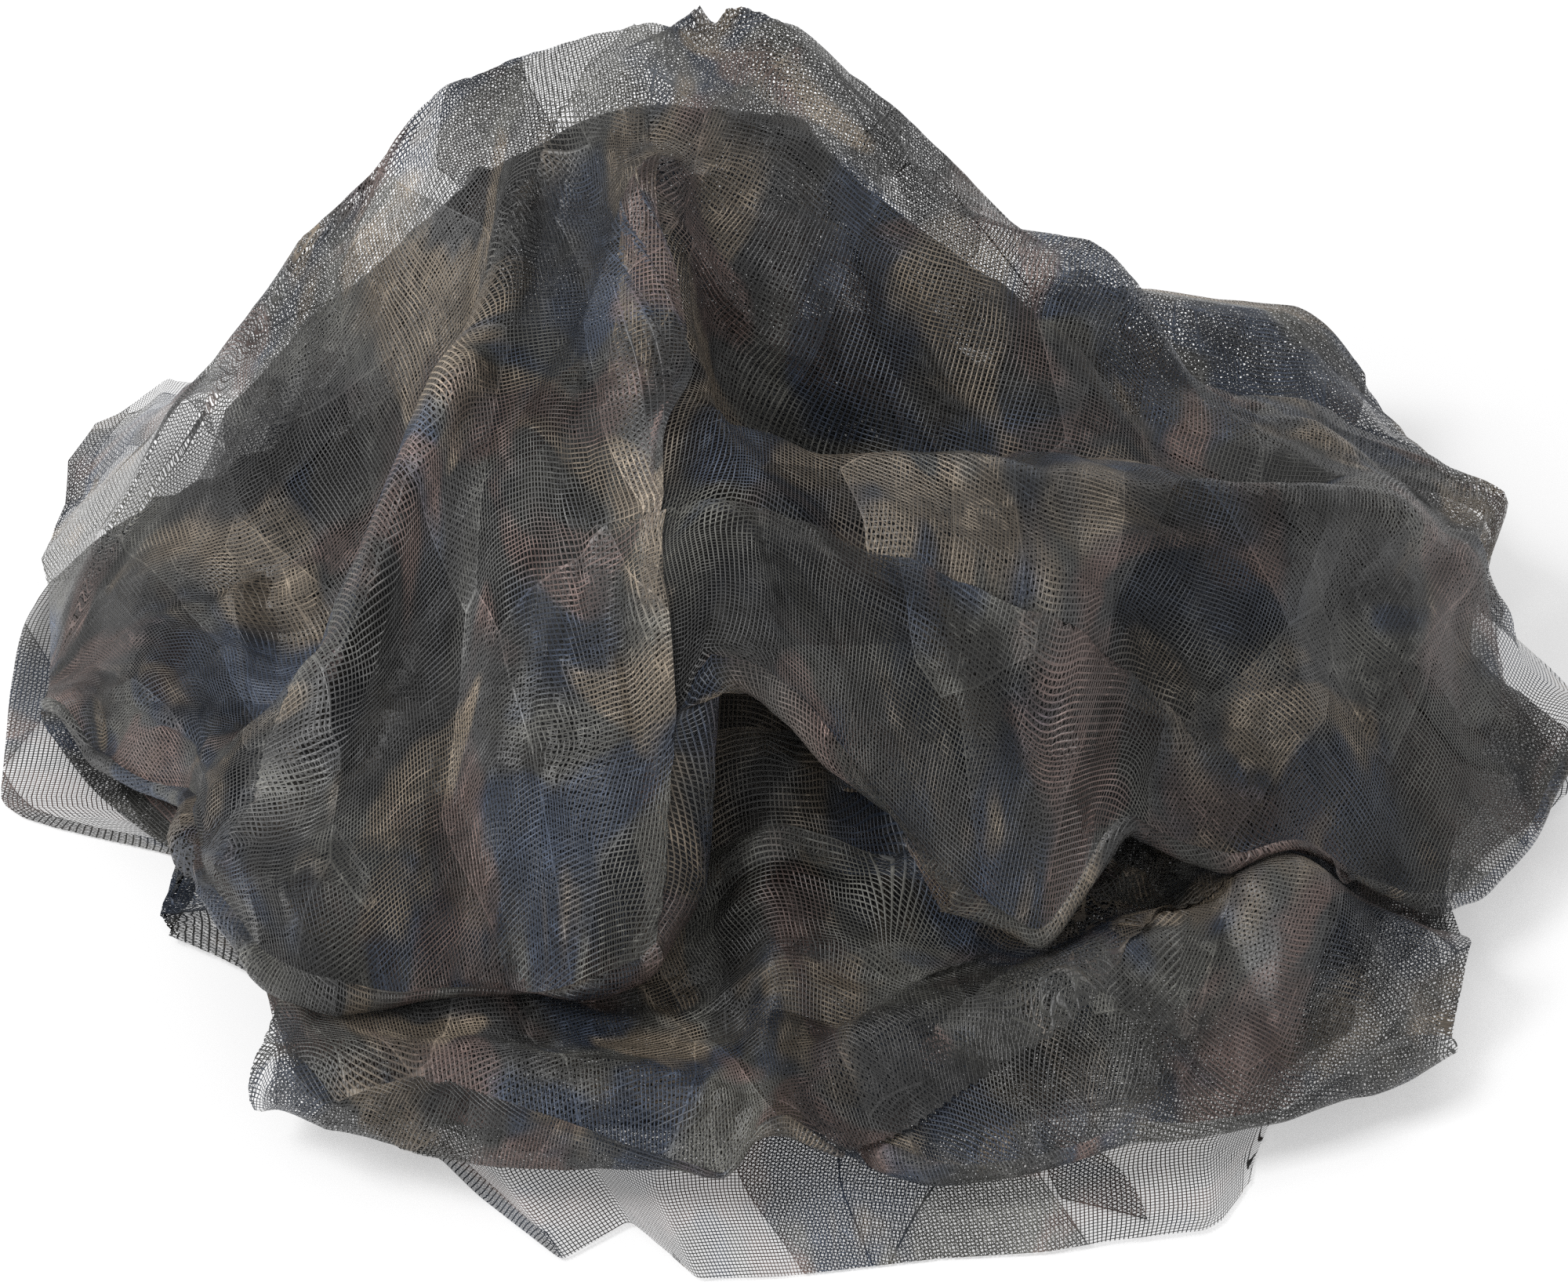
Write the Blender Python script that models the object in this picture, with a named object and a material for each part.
"""A sheer camouflage net lying crumpled in a heap: one length of cloth in one solid.

The cloth runs back and forth over itself in seven passes, one above the other.  Every pass is
a height above the ground over its own patch of plan, and neighbours are joined by a rounded
turn at the front or at the back.  Plan: +X right, +Y away from the viewer, +Z up.
Tables are in millimetres; the finished mesh is in metres.
"""
import bpy
import numpy as np

# ---------------------------------------------------------------- driving sizes, in millimetres
THICKNESS = 1.6          # of the solid that stands for the thin net
GROUND_LAYER = 0.8       # middle of the cloth that lies flat, so that its underside is at 0
LAYER_GAP = 4.6          # least distance, square to the cloth, between the middles of two passes
MAP_STEP = 3.0           # spacing of the height maps
MAP_X = (-390.0, 390.0)
MAP_Y = (-330.0, 400.0)
TURN_ROWS = 3            # rows of points in every turn from one pass to the next
HEM_GAP = 8.0            # between the two layers along the hem of the veil
HEM_START = 0.78         # share of the fifth pass from which it closes up to the veil
TURN_REACH = 13.0        # how far a tall turn may bulge past its fold line
METRE = 0.001

# The top of the heap, a row per section from left to right.  Each section runs from the front
# hem over a face, a ridge, a dip, a shoulder and the crest to the foot behind (y and z of each).
TOP_COLUMNS = ("x", "hem_y", "hem_z", "face_y", "face_z", "ridge_y", "ridge_z",
               "dip_y", "dip_z", "shoulder_y", "shoulder_z", "crest_y", "crest_z",
               "foot_y", "foot_z")
TOP_SECTIONS = (
    (-315, 70, 24, 74, 26, 78, 28, 86, 30, 95, 32, 105, 33, 292, 14),
    (-290, 35, 26, 48, 36, 60, 46, 85, 50, 110, 62, 135, 76, 338, 32),
    (-266, 5, 36, 15, 52, 25, 64, 75, 68, 120, 95, 164, 121, 328, 30),
    (-238, -16, 50, -12, 62, -7, 72, 55, 78, 115, 118, 172, 154, 304, 22),
    (-229, -52, 66, -42, 70, -32, 76, 46, 80, 112, 124, 175, 164, 284, 5),
    (-220, -112, 76, -80, 79, -46, 82, 37, 82, 112, 133, 178, 173, 292, 5),
    (-209, -158, 76, -106, 85, -54, 96, 31, 86, 110, 142, 183, 186, 304, 5),
    (-196, -160, 71, -108, 91, -56, 112, 27, 92, 110, 151, 189, 202, 304, 5),
    (-180, -159, 66, -105, 104, -52, 140, 22, 112, 110, 168, 194, 225, 292, 5),
    (-163, -157, 61, -96, 116, -35, 168, 35, 138, 112, 190, 197, 250, 308, 5),
    (-145, -156, 58, -80, 131, -4, 202, 55, 172, 118, 220, 203, 268, 306, 5),
    (-127, -155, 56, -70, 138, 28, 229, 78, 209, 128, 244, 199, 279, 290, 5),
    (-113, -154, 56, -40, 172, 30, 219, 89, 264, 135, 267, 195, 286, 307, 5),
    (-99, -152, 56, -30, 180, 30, 221, 90, 258, 142, 286, 192, 291, 312, 5),
    (-75, -148, 58, -30, 181, 25, 226, 66, 259, 104, 286, 193, 295, 294, 5),
    (-52, -140, 64, -40, 182, 0, 220, 36, 256, 68, 287, 193, 299, 309, 5),
    (-37, -120, 84, -72, 168, -5, 216, 30, 218, 70, 275, 193, 300, 300, 5),
    (-27, -85, 170, -45, 195, -6, 214, 26, 194, 74, 272, 193, 300, 296, 5),
    (-12, -87, 165, -46, 193, -6, 212, 28, 178, 78, 270, 193, 299, 311, 5),
    (6, -99, 155, -52, 188, -6, 211, 30, 172, 80, 268, 193, 287, 306, 5),
    (30, -116, 130, -60, 178, -7, 208, 32, 166, 80, 258, 194, 267, 291, 5),
    (60, -131, 100, -66, 163, -9, 204, 35, 163, 85, 240, 202, 236, 308, 5),
    (100, -139, 75, -74, 146, -9, 199, 38, 158, 100, 214, 206, 205, 296, 10),
    (131, -110, 110, -55, 146, 0, 189, 42, 156, 105, 196, 209, 180, 284, 30),
    (156, -105, 94, -50, 130, 4, 183, 48, 148, 110, 172, 207, 124, 250, 60),
    (197, -97, 75, -42, 127, 13, 171, 60, 128, 120, 141, 200, 112, 236, 50),
    (240, -76, 42, -10, 92, 55, 131, 85, 108, 130, 119, 190, 103, 228, 45),
    (278, -55, 26, 12, 58, 80, 82, 100, 75, 140, 90, 178, 88, 215, 35),
    (305, -16, 24, 36, 34, 90, 44, 110, 45, 140, 54, 165, 66, 190, 25),
    (332, 48, 22, 60, 25, 74, 27, 90, 28, 105, 29, 115, 29, 130, 16),
)

# The lines where the net turns back or ends, as x and y along each, from left to right.
FOLD_LINES = {
    "ruffle": ((-145, -186), (-130, -190), (-118, -207), (-84, -245), (-59, -223), (-33, -255),
               (0, -253), (59, -243), (100, -240), (154, -227), (178, -198)),
    "back": ((-285, 262), (-200, 284), (-60, 290), (100, 294), (160, 310), (226, 316),
             (262, 296)),
    "under": ((-190, -150), (-137, -172), (0, -178), (57, -180), (180, -148), (225, -112)),
    "rear": ((-270, 235), (-200, 262), (-60, 266), (100, 270), (150, 298), (228, 303),
             (262, 288)),
    "belt": ((-200, -172), (-186, -178), (-137, -206), (0, -212), (57, -219), (194, -182),
             (264, -135)),
    "inner": ((-240, 180), (-150, 186), (-60, 187), (48, 185), (130, 179), (200, 180)),
}

# The side edges of the passes: how far along the pass from its back to its front (0 to 1),
# and the x of the left and of the right edge there.
EDGE_COLUMNS = ("pass_name", "share", "left_x", "right_x")
SIDE_EDGES = (
    ("ground", 0.00, -285, 262),
    ("ground", 0.14, -328, 312),
    ("ground", 0.30, -337, 328),
    ("ground", 0.51, -331, 334),
    ("ground", 0.54, -296, 318),
    ("ground", 0.59, -232, 292),
    ("ground", 0.79, -205, 236),
    ("ground", 0.91, -180, 194),
    ("ground", 1.00, -145, 178),
    ("first", 0.00, -285, 262),
    ("first", 0.20, -304, 298),
    ("first", 0.42, -300, 312),
    ("first", 0.62, -262, 290),
    ("first", 0.80, -215, 250),
    ("first", 1.00, -190, 225),
    ("second", 0.00, -270, 262),
    ("second", 0.18, -308, 304),
    ("second", 0.38, -322, 318),
    ("second", 0.52, -290, 300),
    ("second", 0.66, -236, 276),
    ("second", 0.84, -205, 244),
    ("second", 1.00, -190, 225),
    ("third", 0.00, -270, 262),
    ("third", 0.20, -312, 312),
    ("third", 0.40, -304, 318),
    ("third", 0.52, -262, 300),
    ("third", 0.62, -228, 282),
    ("third", 0.80, -206, 268),
    ("third", 1.00, -200, 264),
    ("fourth", 0.00, -240, 200),
    ("fourth", 0.30, -244, 240),
    ("fourth", 0.50, -230, 264),
    ("fourth", 0.75, -210, 270),
    ("fourth", 1.00, -200, 264),
    ("fifth", 0.00, -240, 200),
    ("fifth", 0.50, -272, 266),
    ("fifth", 1.00, -315, 332),
)

# Rolls of the lower passes: a ridge from one point to another that falls away on both sides.
ROLL_COLUMNS = ("pass_name", "x0", "y0", "z0", "x1", "y1", "z1", "front_slope", "back_slope")
ROLLS = (
    ("fourth", -192, -178, 46, -120, -182, 55, 0.9, 0.9),
    ("fourth", -120, -182, 55, 0, -192, 47, 0.9, 0.7),
    ("fourth", 0, -192, 47, 197, -103, 82, 0.8, 1.1),
    ("fourth", 197, -103, 82, 256, -98, 38, 0.9, 0.9),
    ("fourth", -10, -130, 52, 120, -52, 88, 0.8, 0.6),
    ("third", -130, 214, 131, 60, 214, 131, 0.5, 1.4),
    ("third", 140, 274, 118, 224, 278, 96, 1.2, 0.7),
    ("third", 224, 278, 96, 292, 208, 58, 1.0, 1.0),
    ("third", -290, 60, 34, -225, 120, 60, 0.7, 0.7),
    ("third", -290, 22, 24, -200, -20, 42, 0.6, 0.9),
    ("second", -130, 214, 88, 60, 214, 88, 0.4, 1.0),
    ("first", -130, 214, 44, 60, 214, 44, 0.2, 0.5),
    ("second", 140, 272, 62, 226, 280, 54, 0.8, 0.5),
    ("second", 226, 280, 54, 292, 207, 30, 0.7, 0.6),
    ("second", 240, 120, 40, 315, 60, 16, 0.5, 0.5),
)

# How high each lower pass stands, as a share of the height of the heap's filling.
SHARE_OF_FILLING = {"ground": 0.0, "first": 0.2, "second": 0.4, "third": 0.6, "fourth": 0.8,
                    "fifth": 1.0}
FILLING_SHRINK = 18.0    # the filling stays this far inside the top, in plan
FILLING_BELOW_TOP = 6.0  # and this far below it
FILLING_SHARE = 0.93     # of the height of the top, so that the veil stands off at the crest
HOLLOW_FRONT_Y = -120.0  # the fourth pass is pressed down here, which leaves the dark hollow
HOLLOW_BACK_Y = 40.0
HOLLOW_PRESS = 0.36
FRONT_FALL = 0.35        # slope at which the filling runs out in front of the hem


def table(columns, rows):
    """Give the columns of a table by name."""
    return {name: [row[i] for row in rows] for i, name in enumerate(columns)}


TOP = table(TOP_COLUMNS, TOP_SECTIONS)
TOP_LINES = ("hem", "face", "ridge", "dip", "shoulder", "crest", "foot")


def top_line(line, x):
    """Plan position and height of one named line of the top at the sections x."""
    y = np.interp(x, TOP["x"], TOP[line + "_y"])
    z = np.interp(x, TOP["x"], TOP[line + "_z"])
    return y, z


def top_height(x, y):
    """Height of the top of the heap anywhere in plan."""
    knots = [top_line(line, x) for line in TOP_LINES]
    first_y, first_z = knots[0]
    height = first_z - FRONT_FALL * (first_y - y)
    for (y0, z0), (y1, z1) in zip(knots[:-1], knots[1:]):
        share = np.clip((y - y0) / (y1 - y0), 0.0, 1.0)
        height = np.where(y >= y0, z0 + share * (z1 - z0), height)
    last_y, last_z = knots[-1]
    height = np.where(y > last_y, last_z - 1.5 * (y - last_y), height)
    outside = np.maximum(TOP["x"][0] - x, x - TOP["x"][-1])
    return height - 1.5 * np.maximum(outside, 0.0)


def roll_height(x, y, roll):
    """Height of one roll: a ridge line that falls away to its front and to its back."""
    x0, y0, z0, x1, y1, z1, front_slope, back_slope = roll
    run_x = x1 - x0
    run_y = y1 - y0
    along = ((x - x0) * run_x + (y - y0) * run_y) / (run_x ** 2 + run_y ** 2)
    along = np.clip(along, 0.0, 1.0)
    off_x = x - (x0 + along * run_x)
    off_y = y - (y0 + along * run_y)
    off = np.hypot(off_x, off_y)
    behind = 0.5 + 0.5 * off_y / np.maximum(off, 1e-6)
    slope = front_slope + behind * (back_slope - front_slope)
    rounded = np.sqrt(off ** 2 + 36.0) - 6.0
    return z0 + along * (z1 - z0) - slope * rounded


def blur(height_map, times):
    """Take the hardest corners off a height map."""
    for _ in range(times):
        padded = np.pad(height_map, 1, mode="edge")
        across = padded[1:-1, :-2] + 2.0 * padded[1:-1, 1:-1] + padded[1:-1, 2:]
        height_map = across / 4.0
        padded = np.pad(height_map, 1, mode="edge")
        along = padded[:-2, 1:-1] + 2.0 * padded[1:-1, 1:-1] + padded[2:, 1:-1]
        height_map = along / 4.0
    return height_map


def shrink(height_map, distance):
    """Lowest height within a distance of every point, which keeps a filling inside its cover."""
    for _ in range(int(round(distance / MAP_STEP))):
        padded = np.pad(height_map, 1, mode="edge")
        sides = np.minimum(padded[1:-1, :-2], padded[1:-1, 2:])
        ends = np.minimum(padded[:-2, 1:-1], padded[2:, 1:-1])
        height_map = np.minimum(height_map, np.minimum(sides, ends))
    return height_map


def room_above(height_map, gap):
    """Lowest height that clears this one by the gap, measured square to the cloth."""
    slope_y, slope_x = np.gradient(height_map, MAP_STEP)
    return height_map + gap * np.sqrt(1.0 + slope_x ** 2 + slope_y ** 2)


def make_height_maps():
    """One height map for every pass, each clear of the pass below it."""
    xs = np.arange(MAP_X[0], MAP_X[1] + MAP_STEP, MAP_STEP)
    ys = np.arange(MAP_Y[0], MAP_Y[1] + MAP_STEP, MAP_STEP)
    x, y = np.meshgrid(xs, ys)
    top = np.maximum(top_height(x, y), 0.0)
    filling = FILLING_SHARE * blur(shrink(top, FILLING_SHRINK), 6) - FILLING_BELOW_TOP
    press = np.clip((HOLLOW_BACK_Y - y) / (HOLLOW_BACK_Y - HOLLOW_FRONT_Y), 0.0, 1.0)
    maps = {}
    below = None
    for name, share in SHARE_OF_FILLING.items():
        wanted = share * filling
        if name != "fifth":
            wanted = wanted * (1.0 - HOLLOW_PRESS * press)
        for row in ROLLS:
            if row[0] == name:
                wanted = np.maximum(wanted, roll_height(x, y, row[1:]))
        wanted = blur(wanted, 3)
        if below is None:
            maps[name] = np.maximum(wanted, GROUND_LAYER)
        else:
            maps[name] = blur(np.maximum(wanted, room_above(below, LAYER_GAP)), 1)
        below = maps[name]
    maps["veil"] = np.maximum(top, room_above(below, LAYER_GAP))
    maps["doubled"] = 2.0 * maps["veil"] - room_above(maps["veil"], HEM_GAP)
    return xs, ys, maps


def read_map(xs, ys, height_map, x, y):
    """Height at any plan position, from the four nearest points of a map."""
    col = np.clip((x - xs[0]) / MAP_STEP, 0.0, len(xs) - 1.001)
    row = np.clip((y - ys[0]) / MAP_STEP, 0.0, len(ys) - 1.001)
    i = row.astype(int)
    j = col.astype(int)
    fi = row - i
    fj = col - j
    near = height_map[i, j] * (1.0 - fj) + height_map[i, j + 1] * fj
    far = height_map[i + 1, j] * (1.0 - fj) + height_map[i + 1, j + 1] * fj
    return near * (1.0 - fi) + far * fi


def plan_of_pass(name, across, shares, back_line, front_line):
    """Plan positions of one pass: a row of points for every share from back to front."""
    edges = [row[1:] for row in SIDE_EDGES if row[0] == name]
    known = [row[0] for row in edges]
    left = np.interp(shares, known, [row[1] for row in edges])[:, None]
    right = np.interp(shares, known, [row[2] for row in edges])[:, None]
    x = left + (right - left) * across[None, :]
    back_y = np.interp(x[0], *back_line)
    front_y = np.interp(x[-1], *front_line)
    y = back_y[None, :] + shares[:, None] * (front_y - back_y)[None, :]
    return x, y


def turn(start, end, at_front):
    """Rows of a rounded turn from the last row of one pass to the first row of the next."""
    middle = 0.5 * (start + end)
    half = 0.5 * (end - start)
    run = np.gradient(middle, axis=0)
    run /= np.linalg.norm(run, axis=1, keepdims=True)
    square = half - np.sum(half * run, axis=1, keepdims=True) * run
    outward = np.stack([run[:, 1], -run[:, 0]], axis=1)
    outward /= np.linalg.norm(outward, axis=1, keepdims=True)
    for _ in range(2):
        padded = np.pad(outward, ((1, 1), (0, 0)), mode="edge")
        outward = (padded[:-2] + 2.0 * outward + padded[2:]) / 4.0
    if not at_front:
        outward = -outward
    tall = np.linalg.norm(square, axis=1)
    reach = np.minimum(tall, TURN_REACH + 0.25 * np.maximum(tall - TURN_REACH, 0.0))
    rows = []
    for k in range(1, TURN_ROWS + 1):
        angle = np.pi * k / (TURN_ROWS + 1)
        row = middle - np.cos(angle) * half
        row[:, :2] += outward * (np.sin(angle) * reach)[:, None]
        rows.append(row)
    return rows


# Steps between the named lines of the veil, and the most that two rows of a lower pass may
# lie apart as a share of that pass.
VEIL_STEPS = (2, 3, 3, 3, 3, 4)
LOWER_STEP = {"ground": 0.22, "first": 0.15, "second": 0.14, "third": 0.11, "fourth": 0.09,
              "fifth": 0.09}


def rows_of_pass(name):
    """Shares of a pass at which it gets a row of points: its edge table, evenly filled up."""
    known = [row[1] for row in SIDE_EDGES if row[0] == name]
    shares = []
    for first, last in zip(known[:-1], known[1:]):
        steps = int(np.ceil((last - first) / LOWER_STEP[name] - 1e-6))
        shares += [first + (last - first) * k / steps for k in range(steps)]
    return np.array(shares + [known[-1]])


def make_sheet():
    """The middle of the cloth as a grid: rows follow its length, columns run from left to right."""
    xs, ys, maps = make_height_maps()
    hem_x = np.array(TOP["x"], dtype=float)
    across = (hem_x - hem_x[0]) / (hem_x[-1] - hem_x[0])
    line = {name: tuple(zip(*points)) for name, points in FOLD_LINES.items()}
    line["hem"] = (hem_x, top_line("hem", hem_x)[0])
    passes = (
        ("ground", "back", "ruffle", False),
        ("first", "back", "under", True),
        ("second", "rear", "under", False),
        ("third", "rear", "belt", True),
        ("fourth", "inner", "belt", False),
        ("fifth", "inner", "hem", True),
    )
    grid = []
    for name, back, front, forward in passes:
        x, y = plan_of_pass(name, across, rows_of_pass(name), line[back], line[front])
        z = read_map(xs, ys, maps[name], x, y)
        if front == "hem":
            doubled = read_map(xs, ys, maps["doubled"], x, y)
            near_hem = np.clip((rows_of_pass(name) - HEM_START) / (1.0 - HEM_START), 0.0, 1.0)
            z = np.maximum(z, z + near_hem[:, None] * (doubled - z))
        points = np.stack([x, y, z], axis=-1)
        if not forward:
            points = points[::-1]
        if grid:
            grid.extend(turn(grid[-1], points[0], at_front=not forward))
        grid.extend(list(points))
    veil_y = []
    for line0, line1, steps in zip(TOP_LINES[:-1], TOP_LINES[1:], VEIL_STEPS):
        y0 = top_line(line0, hem_x)[0]
        y1 = top_line(line1, hem_x)[0]
        for k in range(steps):
            veil_y.append(y0 + (y1 - y0) * k / steps)
    veil_y.append(top_line("foot", hem_x)[0])
    y = np.array(veil_y)
    x = np.repeat(hem_x[None, :], len(y), axis=0)
    z = read_map(xs, ys, maps["veil"], x, y)
    points = np.stack([x, y, z], axis=-1)
    grid.extend(turn(grid[-1], points[0], at_front=True))
    grid.extend(list(points))
    return np.array(grid)


def thicken(sheet):
    """Corner points and faces of a closed solid around the sheet, centred over the origin."""
    rows, columns = sheet.shape[:2]
    along = np.gradient(sheet, axis=0)
    side = np.gradient(sheet, axis=1)
    normal = np.cross(side, along)
    normal /= np.maximum(np.linalg.norm(normal, axis=-1, keepdims=True), 1e-9)
    upper = (sheet + normal * THICKNESS / 2.0).reshape(-1, 3)
    lower = (sheet - normal * THICKNESS / 2.0).reshape(-1, 3)
    points = np.concatenate([upper, lower])
    plan = points[:, :2]
    plan -= 0.5 * (plan.min(axis=0) + plan.max(axis=0))
    points *= METRE
    count = rows * columns
    faces = []
    for i in range(rows - 1):
        for j in range(columns - 1):
            a = i * columns + j
            b = a + 1
            c = a + columns + 1
            d = a + columns
            faces.append((a, b, c, d))
            faces.append((a + count, d + count, c + count, b + count))
    rim = [j for j in range(columns)]
    rim += [i * columns + columns - 1 for i in range(1, rows)]
    rim += [(rows - 1) * columns + j for j in range(columns - 2, -1, -1)]
    rim += [i * columns for i in range(rows - 2, 0, -1)]
    for a, b in zip(rim, rim[1:] + rim[:1]):
        faces.append((b, a, a + count, b + count))
    return points, faces


def make_net():
    """The net as one named object in its own collection."""
    for old in list(bpy.data.objects):
        bpy.data.objects.remove(old, do_unlink=True)
    points, faces = thicken(make_sheet())
    mesh = bpy.data.meshes.new("net")
    mesh.from_pydata([tuple(p) for p in points], [], faces)
    mesh.update()
    net = bpy.data.objects.new("net", mesh)
    material = bpy.data.materials.new("camouflage_net")
    material.use_nodes = True
    shader = material.node_tree.nodes["Principled BSDF"]
    shader.inputs["Base Color"].default_value = (0.075, 0.078, 0.080, 1.0)
    shader.inputs["Roughness"].default_value = 0.62
    shader.inputs["Metallic"].default_value = 0.0
    mesh.materials.append(material)
    collection = bpy.data.collections.new("camouflage_net_heap")
    bpy.context.scene.collection.children.link(collection)
    collection.objects.link(net)
    return net


make_net()
